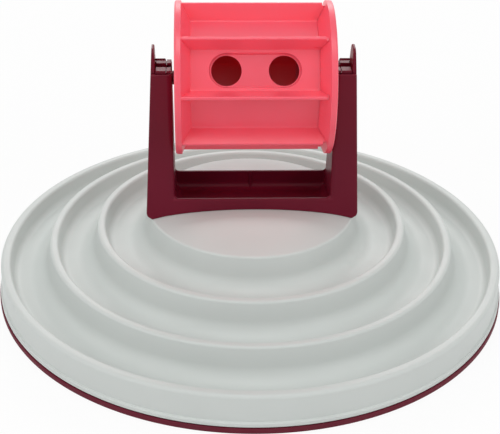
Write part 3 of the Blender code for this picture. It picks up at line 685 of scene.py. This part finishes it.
def slot_cutter(clearance, inner_x, outer_x, mouth):
    """The slot that an axle pin drops into: round below, with round edges at its open mouth."""
    half = PIN_RADIUS + clearance
    top = cradle_top + FIN_HEIGHT
    fillet = CRADLE_EDGE_FILLET
    arc = [math.pi * (1 + k / SLOT_STEPS) for k in range(SLOT_STEPS + 1)]
    outline = [(half * math.cos(a), axle_height + half * math.sin(a)) for a in arc]
    side = [(half + out, mouth - fillet + up) for out, up in quarter(fillet)]
    side.append((half + fillet, top))
    outline += side + [(-y, z) for y, z in reversed(side)]
    return prism("slot", outline, inner_x, outer_x, lambda y, z, x: (x, y, z))


def upright_pocket():
    """The hollow in the right upright's top, wider at its mouth, with a notch for the cradle's tongue."""
    half = CRADLE_DEPTH / 2 + GAP
    inner, outer = cradle_inner_x - GAP, tongue_inner_x
    above = stand_height + CUT_REACH
    step = stand_height - CRADLE_SHADOW_DEPTH
    fillet = CRADLE_EDGE_FILLET
    levels = [(stand_height - CRADLE_PLUG_LENGTH - GAP, 0), (step, 0), (step + GAP, CRADLE_SHADOW_GAP)]
    levels += [(stand_height - fillet + up, CRADLE_SHADOW_GAP + out) for out, up in quarter(fillet)]
    levels.append((above, CRADLE_SHADOW_GAP + fillet))
    rings = [rounded_box_ring(inner - grow, outer, half + grow, z, TROUGH_RIM_FILLET) for z, grow in levels]
    beyond = upright_top_x + CUT_REACH
    side = half + GAP / 6
    notch = box("notch", (outer - 2 * GAP, -side, tongue_foot_height - GAP), (beyond, side, above))
    return combine(lofted("pocket", rings), notch, "UNION")


def fin_half_depth(height):
    """Half the depth of the cradle's fin: it narrows upwards and ends in round corners."""
    share = max(0.0, height - cradle_top) / FIN_HEIGHT
    half = CRADLE_DEPTH / 2 - GAP + (FIN_TIP_DEPTH - CRADLE_DEPTH) * share / 2
    over = max(0.0, height - (cradle_top + FIN_HEIGHT - FIN_CORNER))
    return half - FIN_CORNER + math.sqrt(max(0.0, FIN_CORNER ** 2 - over ** 2))


def cradle_tongue():
    """The tongue that lies in the upright's notch and rises above it as a fin."""
    tip = cradle_top + FIN_HEIGHT
    lean = (stand_foot_x - upright_top_x) / (stand_height - foot_edge_height)
    levels = [tongue_foot_height, stand_height, cradle_top]
    levels += [cradle_top + FIN_HEIGHT * k / 4 for k in (1, 2)]
    levels += [tip - FIN_CORNER * (1 - math.sin(math.radians(a))) for a in range(0, 81, 8)]
    rings = []
    for z in levels:
        outer = upright_top_x + lean * (stand_height - z)
        share = max(0.0, z - cradle_top) / FIN_HEIGHT
        thickness = TONGUE_THICKNESS + (FIN_TIP_THICKNESS - TONGUE_THICKNESS) * share
        over = max(0.0, z - (tip - FIN_CORNER / 4)) / (FIN_CORNER / 4)
        thickness *= 1 - FIN_EDGE_THINNING * over ** 2
        inner = outer - thickness
        if z < stand_height:
            inner = min(inner, tongue_inner_x - 2 * GAP)
        rings.append(rounded_box_ring(inner, outer, fin_half_depth(z), z, FIN_TIP_THICKNESS * 0.3))
    return lofted("tongue", rings)


def make_cradle(name):
    """The right cradle: a block with a slot for the pin, a ledge along its back and a tongue."""
    half = CRADLE_DEPTH / 2
    outer = tongue_inner_x - GAP
    low = stand_height - CRADLE_PLUG_LENGTH
    levels = [(low, -GAP), (low + GAP, 0)]
    levels += [(cradle_top - CRADLE_EDGE_FILLET + up, -inwards) for inwards, up in quarter(CRADLE_EDGE_FILLET)]
    corner = CRADLE_EDGE_FILLET
    rings = [rounded_box_ring(cradle_inner_x - grow, outer + grow, half + grow, z, corner) for z, grow in levels]
    cradle = lofted(name, rings)
    # Its head lies over the upright's inner wall.
    head_x, wider = window_top_x + CRADLE_HEAD_CLEARANCE, GAP / 10
    levels = [(z + wider, grow) for z, grow in levels[2:]]
    levels.insert(0, (stand_height + GAP, 0))
    rings = [rounded_box_ring(head_x - grow, outer + grow, half + wider + grow, z, corner) for z, grow in levels]
    combine(cradle, lofted("head", rings), "UNION")
    low, high = cradle_top - CRADLE_HEAD_GROOVE_DEPTH, cradle_top + GAP
    groove_end = cradle_inner_x + CRADLE_HEAD_GROOVE
    groove = box("groove", (cradle_inner_x, -half - GAP, low), (groove_end, half + GAP, high))
    combine(cradle, groove, "DIFFERENCE")
    combine(cradle, cradle_tongue(), "UNION")
    reach = window_top_x - CUT_REACH
    combine(cradle, slot_cutter(SLOT_CLEARANCE, reach, outer, cradle_top), "DIFFERENCE")
    ledge_low = (groove_end + GAP, half - CRADLE_LEDGE_THICKNESS, cradle_top - CRADLE_LEDGE_HEIGHT)
    ledge = box("ledge", ledge_low, (outer + GAP, half - GAP, cradle_top + CRADLE_LEDGE_HEIGHT))
    soften(ledge, CRADLE_EDGE_FILLET)
    return combine(cradle, ledge, "UNION")


# Drum and axle pins


def end_disc(name, side):
    """An end disc with its hub: its inner face runs from the core's eight sides out to the round rim."""
    slope = math.hypot(DISC_DISH, DRUM_RADIUS - CORE_APOTHEM)
    wall = DISC_WALL * slope / (DRUM_RADIUS - CORE_APOTHEM)
    rim_face = disc_face_x + DISC_DISH
    hub_end = DRUM_HALF_LENGTH + HUB_PROUD
    rim_inner = paddle_radius - DISC_WALL
    outline = rounded(
        [
            (paddle_radius, rim_face),
            (DRUM_RADIUS, rim_face, RIM_ABOVE_PADDLES / 2),
            (DRUM_RADIUS, DRUM_HALF_LENGTH, DISC_RIM_THICKNESS / 3),
            (rim_inner, DRUM_HALF_LENGTH, DISC_WALL / 3),
            (rim_inner, rim_face + wall / 2, DISC_WALL / 4),
            (CORE_APOTHEM - DISC_WALL, disc_face_x + DISC_WALL, DISC_WALL),
            (HUB_RADIUS, disc_face_x + DISC_WALL, DISC_WALL / 2),
            (HUB_RADIUS, hub_end, HUB_PROUD),
            (0, hub_end),
        ]
    )[:-1]
    rings = [octagon_ring(CORE_APOTHEM - GAP, side * disc_face_x)]
    rings += [round_ring(radius, side * x) for radius, x in outline]
    return lofted(name, rings)


def pin_bore(side):
    end = DRUM_HALF_LENGTH + DISC_DISH
    radius = PIN_RADIUS + GAP
    outline = [(0, 0), (radius, 0), (radius, side * end), (0, side * end)]
    return turned("pin_bore", outline, SMALL_STEPS, "X")


def around(radius, angle):
    """A point of the drum's cross-section, at an angle up from the front."""
    return Vector((radius * math.cos(angle), radius * math.sin(angle)))


def drum_place(forward, up, x):
    return (x, -forward, up)


def paddle_section():
    """The drum's outline across its axis: an eight-sided core with a tapering paddle at each corner."""
    corners = []
    root_radius = core_corner_radius - PADDLE_ROOT_THICKNESS / 2 * math.tan(math.pi / PADDLES)
    for k in range(PADDLES):
        angle = math.pi / PADDLES * (2 * k + 1)
        side = Vector((-math.sin(angle), math.cos(angle)))
        root, tip = around(root_radius, angle), around(paddle_radius, angle)
        corners.append((*(root - side * PADDLE_ROOT_THICKNESS / 2), PADDLE_ROOT_FILLET))
        corners.append((*(tip - side * PADDLE_TIP_THICKNESS / 2), PADDLE_TIP_FILLET))
        corners.append((*(tip + side * PADDLE_TIP_THICKNESS / 2), PADDLE_TIP_FILLET))
        corners.append((*(root + side * PADDLE_ROOT_THICKNESS / 2), PADDLE_ROOT_FILLET))
    return rounded(corners, SMALL_CORNER_STEP)


def octagon(apothem):
    radius = apothem / math.cos(math.pi / PADDLES)
    return [around(radius, math.pi / PADDLES * (2 * k + 1)) for k in range(PADDLES)]


def octagon_ring(apothem, x):
    """Points of the eight-sided outline at x, one for each step round a disc."""
    sector = 2 * math.pi / PADDLES
    ring = []
    for k in range(DISC_STEPS):
        angle = 2 * math.pi * k / DISC_STEPS
        off = (angle + sector / 2) % sector - sector / 2
        ring.append(drum_place(*around(apothem / math.cos(off), angle), x))
    return ring


def round_ring(radius, x):
    return [drum_place(*around(radius, 2 * math.pi * k / DISC_STEPS), x) for k in range(DISC_STEPS)]


def stadium(half_length, radius):
    """A slot outline in (x, up): two half circles joined by straight sides."""
    right = [-math.pi / 2 + math.pi * k / STADIUM_STEPS for k in range(STADIUM_STEPS + 1)]
    points = [(half_length + radius * math.cos(a), radius * math.sin(a)) for a in right]
    return points + [(-x, -up) for x, up in points]


def dished(radius, x, foot):
    """How far out along X a slope lies at this radius that leaves x at the radius foot and ends at the rim."""
    return x + DISC_DISH * (radius - foot) / (paddle_radius - foot)


def cut_outlets(drum):
    """The two round outlets and the sloping recess that they share."""
    bottom = CORE_APOTHEM - OUTLET_RECESS_DEPTH
    outside = CORE_APOTHEM + OUTLET_RADIUS / 2
    half_spacing = OUTLET_SPACING / 2
    fillet = OUTLET_EDGE_FILLET
    mouth, edge = OUTLET_RADIUS + OUTLET_RECESS_MARGIN, CORE_APOTHEM - fillet
    levels = [(bottom, OUTLET_RADIUS + OUTLET_RECESS_LEDGE), (edge, mouth)]
    levels += [(edge + up, mouth + out) for out, up in quarter(fillet)[1:]]
    levels.append((outside, levels[-1][1]))
    rings = [[(x, -out, up) for x, up in stadium(half_spacing, radius)] for out, radius in levels]
    combine(drum, lofted("recess", rings), "DIFFERENCE")
    for x in (-half_spacing, half_spacing):
        hole = [(0, bore_apothem / 2), (OUTLET_RADIUS, bore_apothem / 2)]
        hole += [(OUTLET_RADIUS + out, bottom - fillet + up) for out, up in quarter(fillet)]
        hole += [(OUTLET_RADIUS + fillet, outside), (0, outside)]
        cutter = turned("outlet", hole, OUTLET_STEPS)
        cutter.data.transform(Matrix.Translation((x, 0, 0)) @ Matrix.Rotation(math.pi / 2, 4, "X"))
        combine(drum, cutter, "DIFFERENCE")


def make_drum_body():
    rim_face = disc_face_x + DISC_DISH
    drum = prism("drum_shell", paddle_section(), -rim_face - 2 * GAP, rim_face, drum_place)
    beyond = DRUM_HALF_LENGTH + DISC_DISH
    wide = DRUM_RADIUS + CUT_REACH
    # The paddles' free ends follow the dish of the cap, a gap away from it.
    notch = paddle_radius - PADDLE_END_NOTCH
    notch_end = dished(notch, core_end_x, disc_foot_radius)
    cap_side = [
        octagon_ring(CORE_APOTHEM - GAP, core_end_x),
        round_ring(notch, notch_end),
        round_ring(notch, notch_end - PADDLE_END_NOTCH),
        round_ring(wide, notch_end - PADDLE_END_NOTCH),
        round_ring(wide, beyond),
    ]
    combine(drum, lofted("cap_side", cap_side), "DIFFERENCE")
    # On the left they end inside the disc that they are joined to.
    inside_disc = disc_face_x + GAP
    outer_side = dished(wide, inside_disc, CORE_APOTHEM)
    disc_side = [(0, inside_disc), (CORE_APOTHEM, inside_disc), (wide, outer_side)]
    disc_side += [(wide, outer_side + CUT_REACH), (0, outer_side + CUT_REACH)]
    disc_side = [(radius, -x) for radius, x in disc_side]
    combine(drum, turned("disc_side", disc_side, DISC_STEPS, "X"), "DIFFERENCE")
    combine(drum, end_disc("left_disc", -1), "UNION")
    combine(drum, pin_bore(-1), "DIFFERENCE")
    bore_end = -disc_face_x - GAP / 2
    combine(drum, prism("bore", octagon(bore_apothem), bore_end, beyond, drum_place), "DIFFERENCE")
    cut_outlets(drum)
    for turn in CAP_HOOK_TURNS:
        combine(drum, hook_shape("slit", turn, GAP, CORE_WALL), "DIFFERENCE")
    for turn in (0, math.pi):
        combine(drum, snap_slit(turn), "DIFFERENCE")
    return drum


def hook_shape(name, turn, margin=0.0, extra=0.0):
    """A hook of the cap in the core's wall or, with a margin and an extra reach, the slit for it."""
    near = core_end_x - CAP_HOOK_INSET + margin
    low = near - CAP_HOOK_LENGTH - 2 * margin
    across = CAP_HOOK_WIDTH / 2 + margin
    outside = -CORE_APOTHEM + 2 * GAP - extra
    hook = box(name, (low, outside, -across), (near, -bore_apothem + CAP_SPIGOT_WALL / 2, across))
    hook.data.transform(Matrix.Rotation(turn, 4, "X"))
    return hook


def snap_slit(turn):
    """A thin slit beside the cap, in the side of one paddle."""
    end = dished(SNAP_SLIT_RADIUS, core_end_x, disc_foot_radius) + GAP
    low = (end - SNAP_SLIT_LENGTH - GAP, -SNAP_SLIT_RADIUS - SNAP_SLIT_WIDTH / 2, -PADDLE_ROOT_THICKNESS)
    slit = box("snap_slit", low, (end, -SNAP_SLIT_RADIUS + SNAP_SLIT_WIDTH / 2, -PADDLE_TIP_THICKNESS / 6))
    slit.data.transform(Matrix.Rotation(turn - math.pi / PADDLES, 4, "X"))
    return slit


def make_drum_cap():
    cap = end_disc("drum_end", 1)
    spigot_end = disc_face_x - CAP_SPIGOT_DEPTH
    outer, inner = bore_apothem - GAP, bore_apothem - GAP - CAP_SPIGOT_WALL
    spigot = prism("spigot", octagon(outer), spigot_end, disc_face_x + DISC_WALL / 2, drum_place)
    hollow = prism("hollow", octagon(inner), spigot_end - DISC_WALL, disc_face_x, drum_place)
    combine(spigot, hollow, "DIFFERENCE")
    for turn in CAP_HOOK_TURNS:
        combine(spigot, hook_shape("hook", turn), "UNION")
    combine(cap, spigot, "UNION")
    return combine(cap, pin_bore(1), "DIFFERENCE")


def make_pin(name, side):
    """A shouldered pin: its head is inside the drum and its outer end lies in the stand's slot."""
    head = disc_face_x - GAP
    collar = DRUM_HALF_LENGTH + HUB_PROUD + GAP
    end = tongue_inner_x - 2 * GAP
    edge = PIN_COLLAR_THICKNESS / 4
    outline = rounded(
        [
            (0, head - PIN_HEAD_THICKNESS),
            (PIN_HEAD_RADIUS, head - PIN_HEAD_THICKNESS, PIN_HEAD_THICKNESS / 2),
            (PIN_HEAD_RADIUS, head),
            (PIN_RADIUS, head),
            (PIN_RADIUS, collar),
            (PIN_COLLAR_RADIUS, collar, edge),
            (PIN_COLLAR_RADIUS, collar + PIN_COLLAR_THICKNESS, edge),
            (PIN_RADIUS, collar + PIN_COLLAR_THICKNESS, edge),
            (PIN_RADIUS, end, PIN_RADIUS / 4),
            (0, end),
        ]
    )
    return turned(name, [(radius, side * x) for radius, x in outline], SMALL_STEPS, "X")


def on_axle(piece, turn=0.0):
    """Moves a piece made about X = 0 to the axle's height."""
    piece.data.transform(Matrix.Translation((0, 0, axle_height)) @ Matrix.Rotation(-turn, 4, "X"))
    return piece


# Materials


def linear(colour):
    """An sRGB colour, each channel 0 to 255, as linear light."""
    shares = [channel / 255 for channel in colour]
    return [s / 12.92 if s <= 0.04045 else ((s + 0.055) / 1.055) ** 2.4 for s in shares]


def plastic(name, colour, shade, roughness, grain, depth, specular=0.5):
    """A moulded plastic: its colour drifts slightly towards shade, its gloss is uneven and its skin is finely grained.

    roughness is (least, most), grain the size of the skin's grain in metres and depth its height.
    """
    mat = bpy.data.materials.new(name)
    mat.use_nodes = True
    nodes, links = mat.node_tree.nodes, mat.node_tree.links
    shader = nodes["Principled BSDF"]
    shader.inputs["IOR"].default_value = PLASTIC_IOR
    shader.inputs["Specular IOR Level"].default_value = specular
    place = nodes.new("ShaderNodeTexCoord")

    def noise(size, detail):
        texture = nodes.new("ShaderNodeTexNoise")
        texture.inputs["Scale"].default_value = 1 / size
        texture.inputs["Detail"].default_value = detail
        links.new(place.outputs["Object"], texture.inputs["Vector"])
        return texture.outputs["Fac"]

    drift = nodes.new("ShaderNodeValToRGB")
    drift.color_ramp.elements[0].position = NOISE_LOW
    drift.color_ramp.elements[0].color = (*linear(shade), 1)
    drift.color_ramp.elements[1].position = NOISE_HIGH
    drift.color_ramp.elements[1].color = (*linear(colour), 1)
    links.new(noise(COLOUR_DRIFT_SIZE, 2), drift.inputs["Fac"])
    links.new(drift.outputs["Color"], shader.inputs["Base Color"])

    gloss = nodes.new("ShaderNodeMapRange")
    gloss.inputs["From Min"].default_value = NOISE_LOW
    gloss.inputs["From Max"].default_value = NOISE_HIGH
    gloss.inputs["To Min"].default_value = roughness[0]
    gloss.inputs["To Max"].default_value = roughness[1]
    links.new(noise(GLOSS_DRIFT_SIZE, 3), gloss.inputs["Value"])
    links.new(gloss.outputs["Result"], shader.inputs["Roughness"])

    bump = nodes.new("ShaderNodeBump")
    bump.inputs["Strength"].default_value = GRAIN_STRENGTH
    bump.inputs["Distance"].default_value = depth
    links.new(noise(grain, 2), bump.inputs["Height"])
    links.new(bump.outputs["Normal"], shader.inputs["Normal"])
    return mat


def shine_through(mat, tint, weight, depth):
    """Lets light into a thin moulding: it leaves again up to depth away, tinted."""
    shader = mat.node_tree.nodes["Principled BSDF"]
    shader.inputs["Subsurface Weight"].default_value = weight
    shader.inputs["Subsurface Radius"].default_value = tint
    shader.inputs["Subsurface Scale"].default_value = depth


def steel(name):
    """Plated steel, with a fine uneven grain."""
    mat = plastic(name, (168, 170, 174), (150, 152, 158), (0.25, 0.4), 0.0006, 0.00004)
    mat.node_tree.nodes["Principled BSDF"].inputs["Metallic"].default_value = 1.0
    return mat


def tidy(obj):
    """Merges points that lie on each other and splits faces with many corners."""
    bm = bmesh.new()
    bm.from_mesh(obj.data)
    bmesh.ops.remove_doubles(bm, verts=bm.verts, dist=MERGE_REACH)
    bmesh.ops.dissolve_degenerate(bm, edges=bm.edges, dist=MERGE_REACH)
    bmesh.ops.triangulate(bm, faces=[face for face in bm.faces if len(face.verts) > 4])
    bm.to_mesh(obj.data)
    bm.free()


def dress(obj, mat, body, node):
    """Gives a piece its material and smooth shading, and lets it stand for a node of the frame."""
    tidy(obj)
    obj.data.materials.clear()
    obj.data.materials.append(mat)
    obj.data.shade_smooth()
    obj.data.set_sharp_from_angle(angle=SHARP_ANGLE)
    normals = obj.modifiers.new("flat_faces_lead", "WEIGHTED_NORMAL")
    normals.keep_sharp = True
    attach(obj, body)
    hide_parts(node)


# Stage


def make_camera():
    """A camera at the photograph's place, with its slight roll."""
    heading, pitch, roll = CAMERA_HEADING, CAMERA_PITCH, CAMERA_ROLL
    ahead = Vector((math.sin(heading) * math.cos(pitch), math.cos(heading) * math.cos(pitch), -math.sin(pitch)))
    right = Vector((math.cos(heading), -math.sin(heading), 0))
    up = right.cross(ahead)
    across = right * math.cos(roll) + up * math.sin(roll)
    upwards = up * math.cos(roll) - right * math.sin(roll)
    data = bpy.data.cameras.new("camera")
    data.lens = LENS
    data.sensor_width = SENSOR_WIDTH
    data.sensor_fit = "HORIZONTAL"
    data.clip_start = 0.01
    data.clip_end = 20.0
    camera = bpy.data.objects.new("camera", data)
    axes = Matrix((across, upwards, -ahead)).transposed()
    camera.matrix_world = Matrix.Translation(CAMERA_PLACE) @ axes.to_4x4()
    bpy.context.scene.collection.objects.link(camera)
    bpy.context.scene.camera = camera


def make_lamp(name, place, size, energy):
    data = bpy.data.lights.new(name, "AREA")
    data.shape = "RECTANGLE"
    data.size, data.size_y = size
    data.energy = energy
    lamp = bpy.data.objects.new(name, data)
    lamp.location = place
    lamp.rotation_euler = (Vector(LAMP_TARGET) - Vector(place)).to_track_quat("-Z", "Y").to_euler()
    bpy.context.scene.collection.objects.link(lamp)


def seen_or_mirrored(tree):
    """1 for camera, glossy and transmission rays, 0 for the light that falls on the object."""
    path = tree.nodes.new("ShaderNodeLightPath")
    total = path.outputs["Is Camera Ray"]
    for kind in ("Is Glossy Ray", "Is Transmission Ray"):
        either = tree.nodes.new("ShaderNodeMath")
        either.operation = "MAXIMUM"
        tree.links.new(total, either.inputs[0])
        tree.links.new(path.outputs[kind], either.inputs[1])
        total = either.outputs[0]
    return total


def make_world():
    world = bpy.data.worlds.new("studio")
    world.use_nodes = True
    tree = world.node_tree
    background = tree.nodes["Background"]
    background.inputs["Color"].default_value = (1, 1, 1, 1)
    strength = tree.nodes.new("ShaderNodeMapRange")
    strength.inputs["To Min"].default_value = WORLD_LEVEL
    strength.inputs["To Max"].default_value = 1.0
    tree.links.new(seen_or_mirrored(tree), strength.inputs["Value"])
    tree.links.new(strength.outputs["Result"], background.inputs["Strength"])
    bpy.context.scene.world = world


def make_floor():
    """A pale floor that shows white and keeps a soft shadow of the object."""
    bm = bmesh.new()
    bmesh.ops.create_circle(bm, cap_ends=True, segments=96, radius=FLOOR_RADIUS)
    floor = new_object("floor", bm)
    mat = bpy.data.materials.new("floor_paper")
    mat.use_nodes = True
    tree = mat.node_tree
    paper = tree.nodes["Principled BSDF"]
    paper.inputs["Base Color"].default_value = FLOOR_PAPER
    paper.inputs["Roughness"].default_value = 0.9
    paper.inputs["Specular IOR Level"].default_value = 0.1
    glow = tree.nodes.new("ShaderNodeEmission")
    glow.inputs["Strength"].default_value = 1.0
    share = tree.nodes.new("ShaderNodeMath")
    share.operation = "MULTIPLY"
    share.inputs[1].default_value = FLOOR_GLOW
    tree.links.new(seen_or_mirrored(tree), share.inputs[0])
    mix = tree.nodes.new("ShaderNodeMixShader")
    tree.links.new(share.outputs[0], mix.inputs["Fac"])
    tree.links.new(paper.outputs["BSDF"], mix.inputs[1])
    tree.links.new(glow.outputs["Emission"], mix.inputs[2])
    tree.links.new(mix.outputs["Shader"], tree.nodes["Material Output"].inputs["Surface"])
    floor.data.materials.append(mat)


def main():
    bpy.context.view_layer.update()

    pale_grey = plastic("pale_grey_plastic", (211, 216, 213), (208, 213, 210), (0.44, 0.52), 0.0005, 0.00002)
    burgundy = plastic("burgundy_plastic", (110, 19, 42), (104, 17, 39), (0.3, 0.38), 0.0009, 0.00002, 0.15)
    rubber = plastic("burgundy_rubber", (104, 26, 44), (96, 22, 40), (0.62, 0.75), 0.0004, 0.00006, 0.25)
    coral = plastic("coral_plastic", (255, 96, 115), (254, 92, 111), (0.28, 0.36), 0.0007, 0.00002)
    shine_through(coral, (1.0, 0.2, 0.25), 0.35, 0.006)
    plated = steel("plated_steel")

    fixed = "tray_and_stand"
    dress(make_tray(), pale_grey, fixed, "tray")
    dress(make_foot_ring(), rubber, fixed, "base_ring")
    dress(make_stand(), burgundy, fixed, "stand")
    dress(mirror(make_cradle("cradle_insert_left")), burgundy, fixed, "cradle_left")
    dress(make_cradle("cradle_insert_right"), burgundy, fixed, "cradle_right")
    for number, (x, y) in enumerate(screw_places(), 1):
        screw = make_screw(f"screw_{number}", x, y)
        dress(screw, plated, fixed, f"stand_screw_{number}")
    for side, word in ((-1, "left"), (1, "right")):
        pin = on_axle(make_pin(f"pin_{word}", side))
        dress(pin, burgundy, "axle_pins", f"axle_pin_{word}")
    dress(on_axle(make_drum_body(), OUTLET_TILT), coral, "drum", "drum_body")
    dress(on_axle(make_drum_cap(), OUTLET_TILT), coral, "drum", "drum_cap")

    bpy.context.scene.view_settings.view_transform = "Standard"
    make_camera()
    make_world()
    make_floor()
    for name, place, size, energy in LAMPS:
        make_lamp(name, place, size, energy)


main()
